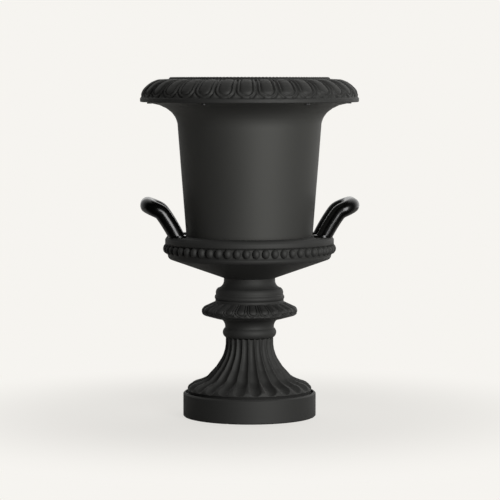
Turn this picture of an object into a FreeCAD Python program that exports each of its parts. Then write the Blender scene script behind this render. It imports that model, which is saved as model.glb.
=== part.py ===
"""Two-handled campana urn planter in cast iron, built up from separate castings on one tie rod.

Millimetres, +Z up, origin on the ground at the middle of the plinth, handles along X, front towards -Y.
Every casting is drawn from its own seat, where it stands on the piece below, and is lifted there by its Placement.
"""
import FreeCAD, Part
import math
import os
import re
import Sketcher
from FreeCAD import Placement, Rotation, Vector

SIZES = {
    # plinth
    "plinth_radius": 149.0,
    "plinth_height": 54.0,
    "plinth_wall": 10.0,
    "plinth_base_chamfer": 2.0,
    "plinth_top_chamfer": 3.0,
    "seat_rim": 5.5,
    "seat_depth": 7.0,
    "seat_flange": 9.0,
    "flange_width": 47.0,
    # fluted foot
    "drum_gap": 7.0,
    "drum_height": 11.0,
    "edge_overhang": 2.7,
    "edge_height": 3.5,
    "nose_inset": 3.7,
    "nose_rise": 8.0,
    "shoulder_inset": 16.5,
    "shoulder_rise": 8.3,
    "flare_spread": 38.6,
    "flare_rise": 14.4,
    "waist_spread": 9.4,
    "waist_rise": 37.8,
    "foot_neck_radius": 53.4,
    "foot_neck_rise": 40.0,
    "foot_land": 8.0,
    "foot_wall": 12.0,
    "foot_top_thickness": 12.0,
    "foot_turn": 3.2,
    # flutes: at each station the channel's radius, its depth under the ridges and the lie of the ridge line
    "flute_count": 24.0,
    "edge_channel": 17.0,
    "edge_depth": 8.0,
    "edge_lie": 24.0,
    "edge_overrun": 28.0,
    "shoulder_channel": 13.8,
    "shoulder_depth": 7.6,
    "shoulder_lie": 24.0,
    "flare_channel": 10.2,
    "flare_depth": 6.5,
    "flare_lie": 41.0,
    "waist_channel": 7.2,
    "waist_depth": 4.6,
    "waist_lie": 63.6,
    "neck_channel": 5.8,
    "neck_depth": 3.6,
    "neck_lie": 86.0,
    "flute_top_margin": 4.0,
    # collar: astragal, cavetto and egg-and-dart cuff
    "collar_step": 1.4,
    "astragal_height": 21.0,
    "astragal_swell": 13.0,
    "cavetto_fillet": 3.0,
    "cavetto_reach": 21.2,
    "cavetto_rise": 18.3,
    "cuff_fillet_width": 10.0,
    "cuff_fillet_rise": 2.3,
    "cuff_under_reach": 15.5,
    "cuff_under_rise": 4.7,
    "cuff_reach": 6.3,
    "cuff_rise": 8.2,
    "cuff_crown_inset": 5.3,
    "cuff_crown_rise": 10.3,
    "cuff_slope_width": 24.0,
    "cuff_slope_rise": 11.2,
    "collar_bore": 26.0,
    "collar_spigot_wall": 8.0,
    "collar_land": 16.5,
    "collar_well_depth": 21.0,
    "collar_turn": -5.8,
    "collar_egg_count": 24.0,
    "collar_dart_lie": 25.0,
    "collar_dart_depth": 3.2,
    "collar_dart_width": 7.0,
    "collar_dart_length": 51.0,
    # knopped neck
    "neck_inset": 1.7,
    "neck_fillet_height": 4.2,
    "neck_groove_depth": 1.6,
    "neck_groove_height": 0.8,
    "torus_height": 11.4,
    "torus_swell": 6.8,
    "ring_height": 14.4,
    "ring_inset": 3.8,
    "ring_swell": 13.8,
    "hollow_inset": 13.9,
    "hollow_height": 16.8,
    "neck_hollow": 17.8,
    "neck_land": 6.4,
    "neck_wall": 13.5,
    # lower bowl
    "bowl_seat_step": 1.0,
    "belly_rise": 19.5,
    "flank_reach": 21.5,
    "flank_rise": 8.5,
    "shoulder_reach": 34.0,
    "shoulder_climb": 14.0,
    "brow_reach": 6.5,
    "brow_rise": 10.0,
    "bead_ledge": 2.5,
    "bead_base_rise": 3.0,
    "bead_height": 22.0,
    "bead_proud": 8.0,
    "bead_crown_height": 9.0,
    "bead_count": 56.0,
    "bead_notch_half_width": 4.0,
    "bead_turn": -1.0,
    "band_proud": 3.5,
    "band_height": 10.0,
    "band_inset": 4.5,
    "band_rise": 6.8,
    "bowl_wall": 9.0,
    "band_wall": 11.0,
    "flange_thickness": 9.0,
    "ledge_width": 47.6,
    "bowl_drain_count": 3.0,
    "bowl_drain_radius": 5.0,
    "bowl_drain_circle": 25.0,
    # bell
    "bell_foot_radius": 141.4,
    "taper_reach": 10.9,
    "taper_rise": 185.0,
    "throat_reach": 8.7,
    "throat_rise": 67.0,
    "flare_reach": 15.0,
    "flare_climb": 26.0,
    "bell_lip_reach": 36.0,
    "bell_lip_rise": 17.4,
    "bell_rim_land": 21.6,
    "bell_rim_rise": 4.2,
    "bell_rim_thickness": 7.4,
    "bell_wall": 8.0,
    "bell_floor": 9.0,
    "bell_spigot_inset": 16.4,
    "bell_spigot_wall": 8.0,
    "bell_drain_count": 4.0,
    "bell_drain_radius": 9.0,
    "bell_drain_circle": 85.0,
    "rim_turn": 1.5,
    # rim lip: fillet, ovolo with eggs and darts, rope ring and inner skirt
    "lip_margin": 10.6,
    "lip_corner": 1.6,
    "lip_fillet": 8.2,
    "lip_quirk": 1.4,
    "ovolo_base": 3.4,
    "ovolo_side_inset": 5.3,
    "ovolo_side_rise": 15.0,
    "ovolo_crown_inset": 15.1,
    "ovolo_crown_rise": 13.9,
    "ovolo_top_inset": 30.4,
    "ovolo_top_rise": 9.1,
    "rope_inset": 1.5,
    "rope_radius": 6.0,
    "rope_sink": 1.8,
    "rope_valley": 3.0,
    "lip_wall": 9.0,
    "lip_ring_thickness": 6.6,
    "skirt_depth": 14.0,
    "skirt_thickness": 6.0,
    "skirt_gap": 1.5,
    "rim_egg_count": 32.0,
    "rim_dart_inset": 13.2,
    "rim_dart_drop": 16.0,
    "rim_dart_depth": 4.5,
    "rim_dart_width": 8.0,
    "rim_dart_lie": 36.0,
    "rim_dart_length": 102.0,
    # handles
    "handle_radius": 16.75,
    "handle_spread": 51.0,
    "pad_reach": 19.1,
    "pad_radius": 19.5,
    "pad_height": 5.0,
    "leg_offset": 3.0,
    "leg_lean": 64.0,
    "leg_root": 12.0,
    "elbow_reach": 30.5,
    "elbow_height": 51.0,
    "turn_reach": 11.0,
    "bar_tilt": 24.0,
    "bar_corner": 24.5,
    # handle bolts
    "bolt_radius": 4.0,
    "bolt_grip": 12.0,
    "bolt_head_flats": 13.0,
    "bolt_head_height": 5.3,
    "bolt_washer_radius": 8.0,
    "bolt_washer_thickness": 1.6,
    # tie rod and its clamps
    "rod_radius": 6.0,
    "rod_clearance": 1.0,
    "rod_overrun": 5.0,
    "rod_chamfer": 1.0,
    "nut_flats": 18.0,
    "nut_height": 10.0,
    "plate_washer_radius": 38.0,
    "plate_washer_thickness": 4.0,
    "bottom_washer_radius": 14.0,
    "bottom_washer_thickness": 2.5,
    "clamp_bar_width": 40.0,
    "clamp_bar_thickness": 8.0,
    "clamp_bar_landing": 16.0,
    # rim screws
    "rim_screw_count": 6.0,
    "rim_screw_radius": 3.0,
    "rim_screw_grip": 6.5,
    "rim_screw_head_radius": 5.5,
    "rim_screw_head_height": 3.5,
    "spotface_depth": 0.4,
    # fits
    "spigot_length": 8.0,
    "fit_gap": 0.4,
    "bolt_clearance": 0.6,
    "thread_gap": 0.05,
}

# Places worked out from the sizes. Heights ending in _seat are above the ground, and the others above the piece's seat.
PLACES = {
    "plinth_inside": "plinth_radius - plinth_wall",
    "seat_edge": "plinth_radius - seat_rim",
    "plinth_bore": "plinth_inside - flange_width",
    "foot_seat": "plinth_height - seat_depth",
    "bar_top": "foot_seat - seat_flange",

    "drum_radius": "seat_edge - drum_gap",
    "edge_radius": "drum_radius + edge_overhang",
    "edge_top": "drum_height + edge_height",
    "nose_radius": "edge_radius - nose_inset",
    "nose_height": "edge_top + nose_rise",
    "shoulder_radius": "nose_radius - shoulder_inset",
    "shoulder_height": "nose_height + shoulder_rise",
    "flare_radius": "foot_neck_radius + flare_spread",
    "flare_height": "shoulder_height + flare_rise",
    "waist_radius": "foot_neck_radius + waist_spread",
    "waist_height": "flare_height + waist_rise",
    "foot_neck_height": "waist_height + foot_neck_rise",
    "foot_height": "foot_neck_height + foot_land",
    "foot_bore": "collar_bore + collar_spigot_wall",

    "collar_seat": "foot_seat + foot_height",
    "collar_root_radius": "foot_neck_radius + collar_step",
    "collar_spigot_radius": "foot_bore - fit_gap",
    "cavetto_base": "astragal_height + cavetto_fillet",
    "cavetto_radius": "collar_root_radius + cavetto_reach",
    "cavetto_height": "cavetto_base + cavetto_rise",
    "cuff_fillet_radius": "cavetto_radius + cuff_fillet_width",
    "cuff_fillet_height": "cavetto_height + cuff_fillet_rise",
    "cuff_under_radius": "cuff_fillet_radius + cuff_under_reach",
    "cuff_under_height": "cuff_fillet_height + cuff_under_rise",
    "cuff_radius": "cuff_under_radius + cuff_reach",
    "cuff_height": "cuff_under_height + cuff_rise",
    "cuff_crown_radius": "cuff_radius - cuff_crown_inset",
    "cuff_crown_height": "cuff_height + cuff_crown_rise",
    "collar_top_radius": "cuff_crown_radius - cuff_slope_width",
    "collar_height": "cuff_crown_height + cuff_slope_rise",
    "collar_well_radius": "collar_top_radius - collar_land",
    "collar_well_height": "collar_height - collar_well_depth",

    "neck_seat": "collar_seat + collar_height",
    "neck_fillet_radius": "collar_top_radius - neck_inset",
    "neck_groove_radius": "neck_fillet_radius - neck_groove_depth",
    "torus_base": "neck_fillet_height + neck_groove_height",
    "ring_base": "torus_base + torus_height",
    "ring_top": "ring_base + ring_height",
    "ring_top_radius": "neck_groove_radius - ring_inset",
    "neck_radius": "ring_top_radius - hollow_inset",
    "hollow_top": "ring_top + hollow_height",
    "neck_height": "hollow_top + neck_land",
    "neck_bore": "neck_radius - neck_wall",

    "bowl_seat": "neck_seat + neck_height",
    "bowl_seat_radius": "neck_radius + bowl_seat_step",
    "band_radius": "bell_foot_radius + ledge_width",
    "bead_root_radius": "band_radius - band_proud",
    "brow_radius": "bead_root_radius - bead_ledge",
    "bowl_shoulder_radius": "brow_radius - brow_reach",
    "flank_radius": "bowl_shoulder_radius - shoulder_reach",
    "belly_radius": "flank_radius - flank_reach",
    "flank_height": "belly_rise + flank_rise",
    "bowl_shoulder_height": "flank_height + shoulder_climb",
    "brow_height": "bowl_shoulder_height + brow_rise",
    "bead_base": "brow_height + bead_base_rise",
    "bead_top": "bead_base + bead_height",
    "bead_crown_radius": "bead_root_radius + bead_proud",
    "band_top": "bead_top + band_height",
    "flange_radius": "band_radius - band_inset",
    "bowl_height": "band_top + band_rise",
    "flange_underside": "bowl_height - flange_thickness",
    "bowl_mouth": "bell_foot_radius - bell_spigot_inset",

    "flange_top": "bowl_seat + bowl_height",
    "taper_radius": "bell_foot_radius + taper_reach",
    "throat_radius": "taper_radius + throat_reach",
    "throat_height": "taper_rise + throat_rise",
    "bell_flare_radius": "throat_radius + flare_reach",
    "bell_flare_height": "throat_height + flare_climb",
    "bell_lip_radius": "bell_flare_radius + bell_lip_reach",
    "bell_lip_height": "bell_flare_height + bell_lip_rise",
    "bell_rim_radius": "bell_lip_radius + bell_rim_land",
    "bell_rim_height": "bell_lip_height + bell_rim_rise",
    "bell_height": "bell_rim_height + bell_rim_thickness",
    "rim_screw_circle": "bell_rim_radius - (bell_rim_land - fit_gap) / 2",
    "spotface_height": "bell_rim_height - spotface_depth",

    "lip_seat": "flange_top + bell_rim_height",
    "lip_radius": "bell_rim_radius + lip_margin",
    "rebate_radius": "bell_rim_radius + fit_gap",
    "quirk_radius": "lip_radius - lip_quirk",
    "quirk_height": "lip_fillet + lip_quirk",
    "ovolo_height": "quirk_height + ovolo_base",
    "ovolo_side_radius": "quirk_radius - ovolo_side_inset",
    "ovolo_side_height": "ovolo_height + ovolo_side_rise",
    "ovolo_crown_radius": "ovolo_side_radius - ovolo_crown_inset",
    "ovolo_crown_height": "ovolo_side_height + ovolo_crown_rise",
    "ovolo_top_radius": "ovolo_crown_radius - ovolo_top_inset",
    "ovolo_top_height": "ovolo_crown_height + ovolo_top_rise",
    "rope_ring_radius": "bell_flare_radius - rope_inset",
    "rope_height": "ovolo_top_height - rope_sink",
    "rope_outside": "rope_ring_radius + rope_radius",
    "skirt_radius": "bell_flare_radius - bell_wall - skirt_gap",
    "skirt_bore": "skirt_radius - skirt_thickness",
    "lip_soffit": "ovolo_top_height - lip_wall",

    "rod_hole": "rod_radius + rod_clearance",
    "handle_axis": "bell_foot_radius + pad_reach",
    "leg_foot": "handle_axis + leg_offset",
    "elbow_place": "leg_foot + elbow_reach",
    "turn_place": "elbow_place + turn_reach",

    "bar_seat": "bar_top - clamp_bar_thickness",
    "bottom_washer_seat": "bar_seat - bottom_washer_thickness",
    "bottom_nut_seat": "bottom_washer_seat - nut_height",
    "rod_seat": "bottom_nut_seat - rod_overrun",
    "plate_washer_seat": "flange_top + bell_floor",
    "top_nut_seat": "plate_washer_seat + plate_washer_thickness",
    "rod_length": "top_nut_seat + nut_height + rod_overrun - rod_seat",
}


class Curve:
    """How the side that leaves a corner runs: straight, or one of these arcs."""

    SMOOTH = "smooth"

    def __init__(self, radius, bulges):
        self.radius = radius
        self.bulges = bulges


def bulge(radius):
    """An arc that swells outwards from the solid."""
    return Curve(radius, True)


def hollow(radius):
    """An arc that is scooped into the solid."""
    return Curve(radius, False)


def bound(expression, here=""):
    """Expression with each of its names written as the cell that holds it."""
    def cell(match):
        name = match[0]
        if name in SIZES:
            return "Sizes." + name
        return here + name if name in PLACES else name
    return re.sub(r"[a-z]\w*", cell, expression)


def refresh():
    """Recomputes what has changed. A sweep leaves its neighbours marked as changed, so the marks are cleared."""
    doc.recompute()
    for thing in doc.Objects:
        thing.purgeTouched()


def fill_sheet(label, cells):
    sheet = doc.addObject("Spreadsheet::Sheet", label)
    for row, (alias, content) in enumerate(cells, start=1):
        sheet.set("A%d" % row, alias)
        sheet.set("B%d" % row, content)
        sheet.setAlias("B%d" % row, alias)
    refresh()
    return sheet


doc = FreeCAD.newDocument("urn_planter")
fill_sheet("Sizes", [(name, str(size)) for name, size in SIZES.items()])
places = fill_sheet("Places", [(name, "=" + bound(place)) for name, place in PLACES.items()])
pieces = []


def value(expression):
    """Number that an expression stands for, in millimetres or degrees."""
    result = places.evalExpression(bound(expression, "Places."))
    return float(getattr(result, "Value", result))


def bind(thing, target, expression):
    thing.setExpression(target, bound(expression, "Places."))


def hold(sketch, kind, *where_and_expression):
    """Adds a constraint whose size is held by an expression."""
    *where, expression = where_and_expression
    row = sketch.addConstraint(Sketcher.Constraint(kind, *where, value(expression)))
    bind(sketch, "Constraints[%d]" % row, expression)


def origin_feature(body, role):
    return next(f for f in body.Origin.OriginFeatures if f.Role == role)


def new_body(label, seat="0", turn=None):
    """Body that stands at a height above the ground, turned about the urn's axis."""
    body = doc.addObject("PartDesign::Body", label)
    body.Label = label
    bind(body, "Placement.Base.z", seat)
    if turn:
        bind(body, "Placement.Rotation.Angle", turn)
    pieces.append(body)
    return body


def new_sketch(body, label, role="XY_Plane", lift="0", shift="0", tilt=None, turn=None):
    """Sketch on an origin plane of the body, lifted off it and shifted, and tilted upwards or turned in degrees."""
    sketch = body.newObject("Sketcher::SketchObject", label)
    sketch.AttachmentSupport = [(origin_feature(body, role), "")]
    sketch.MapMode = "FlatFace"
    if tilt or turn:
        axis = Vector(0, -1, 0) if tilt else Vector(0, 0, 1)
        sketch.AttachmentOffset = Placement(Vector(), Rotation(axis, 1))
        bind(sketch, "AttachmentOffset.Rotation.Angle", tilt or turn)
    bind(sketch, "AttachmentOffset.Base.z", lift)
    bind(sketch, "AttachmentOffset.Base.x", shift)
    return sketch


def arc_through(start, end, radius, bulges):
    """Arc between two points of an outline that keeps its solid on the left."""
    chord = end - start
    left = Vector(-chord.y, chord.x, 0).normalize()
    rise = math.sqrt(max(radius**2 - (chord.Length / 2) ** 2, 0))
    centre = (start + end) * 0.5 + left * (rise if bulges else -rise)
    first, last = (start, end) if bulges else (end, start)
    circle = Part.Circle(centre, Vector(0, 0, 1), radius)
    return Part.ArcOfCircle(circle, circle.parameter(first), circle.parameter(last))


def side_between(start, end, curve, direction):
    """Shape of one side of an outline, whether it runs forwards, and the direction that it ends in."""
    if curve is None:
        return Part.LineSegment(start, end), True, (end - start).normalize()
    if curve is Curve.SMOOTH:
        chord = end - start
        radius = chord.dot(chord) / (2 * chord.dot(Vector(-direction.y, direction.x, 0)))
        forwards = radius > 0
        arc = arc_through(start, end, abs(radius), forwards)
    else:
        forwards = curve.bulges
        arc = arc_through(start, end, value(curve.radius), forwards)
    spoke = (end - arc.Center).normalize()
    return arc, forwards, Vector(-spoke.y, spoke.x, 0) * (1 if forwards else -1)


def outline(sketch, corners, closed=True):
    """Draws an outline and holds all of it.

    A corner is (x, y) or (x, y, curve) in expressions. The curve belongs to the side that leaves the corner, and a
    SMOOTH side is an arc tangent to the side before it.
    """
    points = [Vector(value(corner[0]), value(corner[1]), 0) for corner in corners]
    curves = [corner[2] if len(corner) > 2 else None for corner in corners]
    sides = len(corners) if closed else len(corners) - 1
    first_ends = []
    direction = None
    for i in range(sides):
        shape, forwards, direction = side_between(points[i], points[(i + 1) % len(points)], curves[i], direction)
        sketch.addGeometry(shape, False)
        first_ends.append(1 if forwards else 2)
    for i in range(0 if closed else 1, sides):
        before = (i - 1) % sides
        kind = "Tangent" if curves[i] is Curve.SMOOTH else "Coincident"
        sketch.addConstraint(Sketcher.Constraint(kind, before, 3 - first_ends[before], i, first_ends[i]))
    for i, corner in enumerate(corners):
        if isinstance(curves[i], Curve):
            hold(sketch, "Radius", i, curves[i].radius)
        side, end = (i, first_ends[i]) if i < sides else (sides - 1, 3 - first_ends[-1])
        hold(sketch, "DistanceX", -1, 1, side, end, corner[0])
        hold(sketch, "DistanceY", -1, 1, side, end, corner[1])


def circle(sketch, radius, x="0", y="0"):
    centre = Vector(value(x), value(y), 0)
    row = sketch.addGeometry(Part.Circle(centre, Vector(0, 0, 1), value(radius)), False)
    hold(sketch, "DistanceX", -1, 1, row, 3, x)
    hold(sketch, "DistanceY", -1, 1, row, 3, y)
    hold(sketch, "Radius", row, radius)


def turned(body, corners):
    """Turns an outline in the body's XZ plane about its Z axis."""
    sketch = new_sketch(body, body.Label + "_profile", "XZ_Plane")
    outline(sketch, corners)
    turning = body.newObject("PartDesign::Revolution", body.Label + "_turning")
    turning.Profile = sketch
    turning.ReferenceAxis = (sketch, ["V_Axis"])
    turning.Angle = 360
    refresh()


def pad(body, sketch, length):
    feature = body.newObject("PartDesign::Pad", sketch.Label + "_pad")
    feature.Profile = sketch
    bind(feature, "Length", length)
    refresh()


def check_cut(feature):
    """Stops if a cut took nothing away."""
    if feature.Shape.Volume >= feature.BaseFeature.Shape.Volume:
        raise RuntimeError(feature.Label + " cuts nothing")


def pocket(body, sketch, length, upwards=False, both_ways=False):
    """Cuts a sketch into the body."""
    feature = body.newObject("PartDesign::Pocket", sketch.Label + "_cut")
    feature.Profile = sketch
    feature.Reversed = upwards
    feature.Midplane = both_ways
    bind(feature, "Length", length)
    refresh()
    check_cut(feature)
    return feature


def ring_of(body, feature, count):
    """Repeats a feature evenly round the body's Z axis."""
    pattern = body.newObject("PartDesign::PolarPattern", feature.Label + "_ring")
    pattern.Originals = [feature]
    pattern.Axis = (origin_feature(body, "Z_Axis"), [""])
    pattern.Angle = 360
    bind(pattern, "Occurrences", count)
    body.Tip = pattern
    refresh()


def ring_of_holes(body, label, radius, circle_radius, count, bottom, depth):
    """Upright round holes on a circle, from a height upwards."""
    sketch = new_sketch(body, label, lift=bottom)
    circle(sketch, radius, circle_radius)
    ring_of(body, pocket(body, sketch, depth, upwards=True), count)


def dart(body, label, x, z, lie, width, depth, length):
    """V channel between two eggs, laid along a slope over a point of the moulding."""
    sketch = new_sketch(body, label, lift=z, shift=x, tilt="90 - " + lie)
    outline(sketch, [("-" + depth, "0"), (depth, "-" + width), (depth, width)])
    return pocket(body, sketch, length, both_ways=True)


def flute_station(body, name, x, z):
    """Section of the flute's channel at a point of the ridge line, square to the way that the ridge lies there."""
    lie = name + "_lie"
    off = "(%s_channel - %s_depth)" % (name, name)
    sketch = new_sketch(
        body, "flute_" + name, lift="%s + %s * cos(%s)" % (z, off, lie), shift="%s + %s * sin(%s)" % (x, off, lie),
        tilt="90 - " + lie,
    )
    circle(sketch, name + "_channel")
    return sketch


def make_plinth():
    body = new_body("plinth")
    turned(body, [
        ("plinth_inside", "0"),
        ("plinth_radius - plinth_base_chamfer", "0"),
        ("plinth_radius", "plinth_base_chamfer"),
        ("plinth_radius", "plinth_height - plinth_top_chamfer"),
        ("plinth_radius - plinth_top_chamfer", "plinth_height"),
        ("seat_edge", "plinth_height"),
        ("seat_edge", "foot_seat"),
        ("plinth_bore", "foot_seat"),
        ("plinth_bore", "bar_top"),
        ("plinth_inside", "bar_top"),
    ])


def make_foot():
    body = new_body("fluted_foot", "foot_seat", "foot_turn")
    ceiling = "foot_height - foot_top_thickness"
    turned(body, [
        ("drum_radius - foot_wall", "0"),
        ("drum_radius", "0"),
        ("drum_radius", "drum_height"),
        ("edge_radius", "drum_height + edge_overhang / 2"),
        ("edge_radius", "edge_top", Curve.SMOOTH),
        ("nose_radius", "nose_height", Curve.SMOOTH),
        ("shoulder_radius", "shoulder_height", Curve.SMOOTH),
        ("flare_radius", "flare_height", Curve.SMOOTH),
        ("waist_radius", "waist_height", Curve.SMOOTH),
        ("foot_neck_radius", "foot_neck_height"),
        ("foot_neck_radius", "foot_height"),
        ("foot_bore", "foot_height"),
        ("foot_bore", ceiling),
        ("foot_neck_radius - foot_wall", ceiling),
        ("waist_radius - foot_wall", "waist_height - foot_wall"),
        ("flare_radius - foot_wall", "flare_height - foot_wall"),
        ("shoulder_radius - foot_wall", "shoulder_height - foot_wall"),
        ("drum_radius - foot_wall", "nose_height - foot_wall"),
    ])
    flute = body.newObject("PartDesign::SubtractiveLoft", "flute")
    flute.Ruled = True
    stations = [
        flute_station(body, "neck", "foot_neck_radius", "foot_height - flute_top_margin"),
        flute_station(body, "waist", "waist_radius", "waist_height"),
        flute_station(body, "flare", "flare_radius", "flare_height"),
        flute_station(body, "shoulder", "shoulder_radius", "shoulder_height"),
        flute_station(
            body, "edge",
            "shoulder_radius + edge_overrun * cos(edge_lie)", "shoulder_height - edge_overrun * sin(edge_lie)",
        ),
    ]
    flute.Profile = stations[0]
    flute.Sections = [(station, [""]) for station in stations[1:]]
    refresh()
    check_cut(flute)
    ring_of(body, flute, "flute_count")


def make_collar():
    body = new_body("stem_collar", "collar_seat", "collar_turn")
    turned(body, [
        ("collar_bore", "-spigot_length"),
        ("collar_spigot_radius", "-spigot_length"),
        ("collar_spigot_radius", "0"),
        ("collar_root_radius", "0", bulge("astragal_swell")),
        ("collar_root_radius", "astragal_height"),
        ("collar_root_radius", "cavetto_base", Curve.SMOOTH),
        ("cavetto_radius", "cavetto_height"),
        ("cuff_fillet_radius", "cuff_fillet_height"),
        ("cuff_under_radius", "cuff_under_height", Curve.SMOOTH),
        ("cuff_radius", "cuff_height", Curve.SMOOTH),
        ("cuff_crown_radius", "cuff_crown_height"),
        ("collar_top_radius", "collar_height"),
        ("collar_well_radius", "collar_height"),
        ("collar_well_radius", "collar_well_height"),
        ("collar_bore", "collar_well_height"),
    ])
    cut = dart(
        body, "collar_dart", "cuff_crown_radius", "cuff_crown_height", "collar_dart_lie",
        "collar_dart_width", "collar_dart_depth", "collar_dart_length",
    )
    ring_of(body, cut, "collar_egg_count")


def make_neck():
    body = new_body("stem_neck", "neck_seat")
    spigot = "collar_well_radius - fit_gap"
    turned(body, [
        ("neck_bore", "-spigot_length"),
        (spigot, "-spigot_length"),
        (spigot, "0"),
        ("neck_fillet_radius", "0"),
        ("neck_fillet_radius", "neck_fillet_height"),
        ("neck_groove_radius", "torus_base", bulge("torus_swell")),
        ("neck_groove_radius", "ring_base", bulge("ring_swell")),
        ("ring_top_radius", "ring_top", hollow("neck_hollow")),
        ("neck_radius", "hollow_top"),
        ("neck_radius", "neck_height"),
        ("neck_bore", "neck_height"),
    ])


def make_bowl():
    body = new_body("lower_bowl", "bowl_seat")
    spigot = "neck_bore - fit_gap"
    band_inside = "band_radius - band_wall"
    bead_chamfer = "(bead_height - bead_crown_height) / 2"
    turned(body, [
        ("rod_hole", "-spigot_length"),
        (spigot, "-spigot_length"),
        (spigot, "0"),
        ("bowl_seat_radius", "0"),
        ("belly_radius", "belly_rise", Curve.SMOOTH),
        ("flank_radius", "flank_height", Curve.SMOOTH),
        ("bowl_shoulder_radius", "bowl_shoulder_height", Curve.SMOOTH),
        ("brow_radius", "brow_height"),
        ("bead_root_radius", "bead_base"),
        ("bead_crown_radius", "bead_base + " + bead_chamfer),
        ("bead_crown_radius", "bead_top - " + bead_chamfer),
        ("bead_root_radius", "bead_top"),
        ("band_radius", "bead_top"),
        ("band_radius", "band_top"),
        ("flange_radius", "bowl_height"),
        ("bowl_mouth", "bowl_height"),
        ("bowl_mouth", "flange_underside"),
        (band_inside, "flange_underside"),
        (band_inside, "brow_height + bowl_wall"),
        ("bowl_shoulder_radius - bowl_wall", "bowl_shoulder_height + bowl_wall"),
        ("belly_radius - bowl_wall", "belly_rise + bowl_wall"),
        ("bowl_seat_radius - bowl_wall", "bowl_wall"),
        ("rod_hole", "bowl_wall"),
    ])
    ring_of_holes(
        body, "bowl_drain", "bowl_drain_radius", "bowl_drain_circle", "bowl_drain_count",
        "-spigot_length", "spigot_length + 2 * bowl_wall",
    )
    holes = new_sketch(body, "handle_holes", lift="flange_underside")
    for side in ("", "-"):
        for end in ("", "-"):
            circle(holes, "bolt_radius + bolt_clearance", side + "handle_axis", end + "handle_spread")
    pocket(body, holes, "flange_thickness", upwards=True)
    notch = new_sketch(body, "bead_notch", lift="bead_base", turn="bead_turn")
    reach = "bead_crown_radius + bead_proud"
    outline(notch, [
        ("bead_root_radius", "0"),
        (reach, "-2 * bead_notch_half_width"),
        (reach, "2 * bead_notch_half_width"),
    ])
    ring_of(body, pocket(body, notch, "bead_height", upwards=True), "bead_count")


def make_bell():
    body = new_body("bell_body", "flange_top", "rim_turn")
    spigot = "bowl_mouth - fit_gap"
    turned(body, [
        ("rod_hole", "0"),
        (spigot + " - bell_spigot_wall", "0"),
        (spigot + " - bell_spigot_wall", "-spigot_length"),
        (spigot, "-spigot_length"),
        (spigot, "0"),
        ("bell_foot_radius", "0"),
        ("taper_radius", "taper_rise", Curve.SMOOTH),
        ("throat_radius", "throat_height", Curve.SMOOTH),
        ("bell_flare_radius", "bell_flare_height", Curve.SMOOTH),
        ("bell_lip_radius", "bell_lip_height"),
        ("bell_rim_radius", "bell_rim_height"),
        ("bell_rim_radius", "bell_height"),
        ("bell_lip_radius", "bell_height"),
        ("bell_lip_radius - bell_wall", "bell_lip_height + bell_wall"),
        ("bell_flare_radius - bell_wall", "bell_flare_height + bell_wall"),
        ("throat_radius - bell_wall", "throat_height + bell_wall"),
        ("taper_radius - bell_wall", "taper_rise + bell_wall"),
        ("bell_foot_radius - bell_wall", "bell_floor"),
        ("rod_hole", "bell_floor"),
    ])
    ring_of_holes(
        body, "bell_drain", "bell_drain_radius", "bell_drain_circle", "bell_drain_count", "0", "bell_floor",
    )
    ring_of_holes(
        body, "rim_screw_hole", "rim_screw_radius + bolt_clearance", "rim_screw_circle", "rim_screw_count",
        "bell_lip_height", "bell_height",
    )
    face = new_sketch(body, "spotface", lift="spotface_height")
    circle(face, "rim_screw_head_radius + 2 * bolt_clearance", "rim_screw_circle")
    ring_of(body, pocket(body, face, "bell_rim_thickness"), "rim_screw_count")


def make_lip():
    body = new_body("rim_lip", "lip_seat", "rim_turn")
    turned(body, [
        ("rebate_radius", "0"),
        ("lip_radius - lip_corner", "0"),
        ("lip_radius", "lip_corner"),
        ("lip_radius", "lip_fillet"),
        ("quirk_radius", "quirk_height"),
        ("quirk_radius", "ovolo_height", Curve.SMOOTH),
        ("ovolo_side_radius", "ovolo_side_height", Curve.SMOOTH),
        ("ovolo_crown_radius", "ovolo_crown_height", Curve.SMOOTH),
        ("ovolo_top_radius", "ovolo_top_height"),
        ("rope_outside + rope_valley", "ovolo_top_height"),
        ("rope_outside", "rope_height", bulge("rope_radius")),
        ("rope_ring_radius", "rope_height + rope_radius", bulge("rope_radius")),
        ("rope_ring_radius - rope_radius", "rope_height"),
        ("skirt_bore", "lip_soffit"),
        ("skirt_bore", "-skirt_depth"),
        ("skirt_radius", "-skirt_depth"),
        ("skirt_radius", "lip_soffit"),
        ("ovolo_top_radius - lip_wall", "lip_soffit"),
        ("ovolo_crown_radius - lip_wall", "ovolo_crown_height - lip_wall"),
        ("ovolo_side_radius - lip_wall", "ovolo_side_height - lip_wall"),
        ("bell_lip_radius", "bell_rim_thickness + lip_ring_thickness"),
        ("bell_lip_radius", "bell_rim_thickness"),
        ("rebate_radius", "bell_rim_thickness"),
    ])
    ring_of_holes(
        body, "rim_screw_tapping", "rim_screw_radius + thread_gap", "rim_screw_circle", "rim_screw_count",
        "bell_rim_thickness", "rim_screw_grip",
    )
    cut = dart(
        body, "rim_dart", "lip_radius - rim_dart_inset", "ovolo_top_height - rim_dart_drop", "rim_dart_lie",
        "rim_dart_width", "rim_dart_depth", "rim_dart_length",
    )
    ring_of(body, cut, "rim_egg_count")


def pipe(body, label, profile, path):
    """Sweeps a profile along a path."""
    feature = body.newObject("PartDesign::AdditivePipe", label)
    feature.Profile = profile
    feature.Spine = path
    refresh()
    return feature


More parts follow.
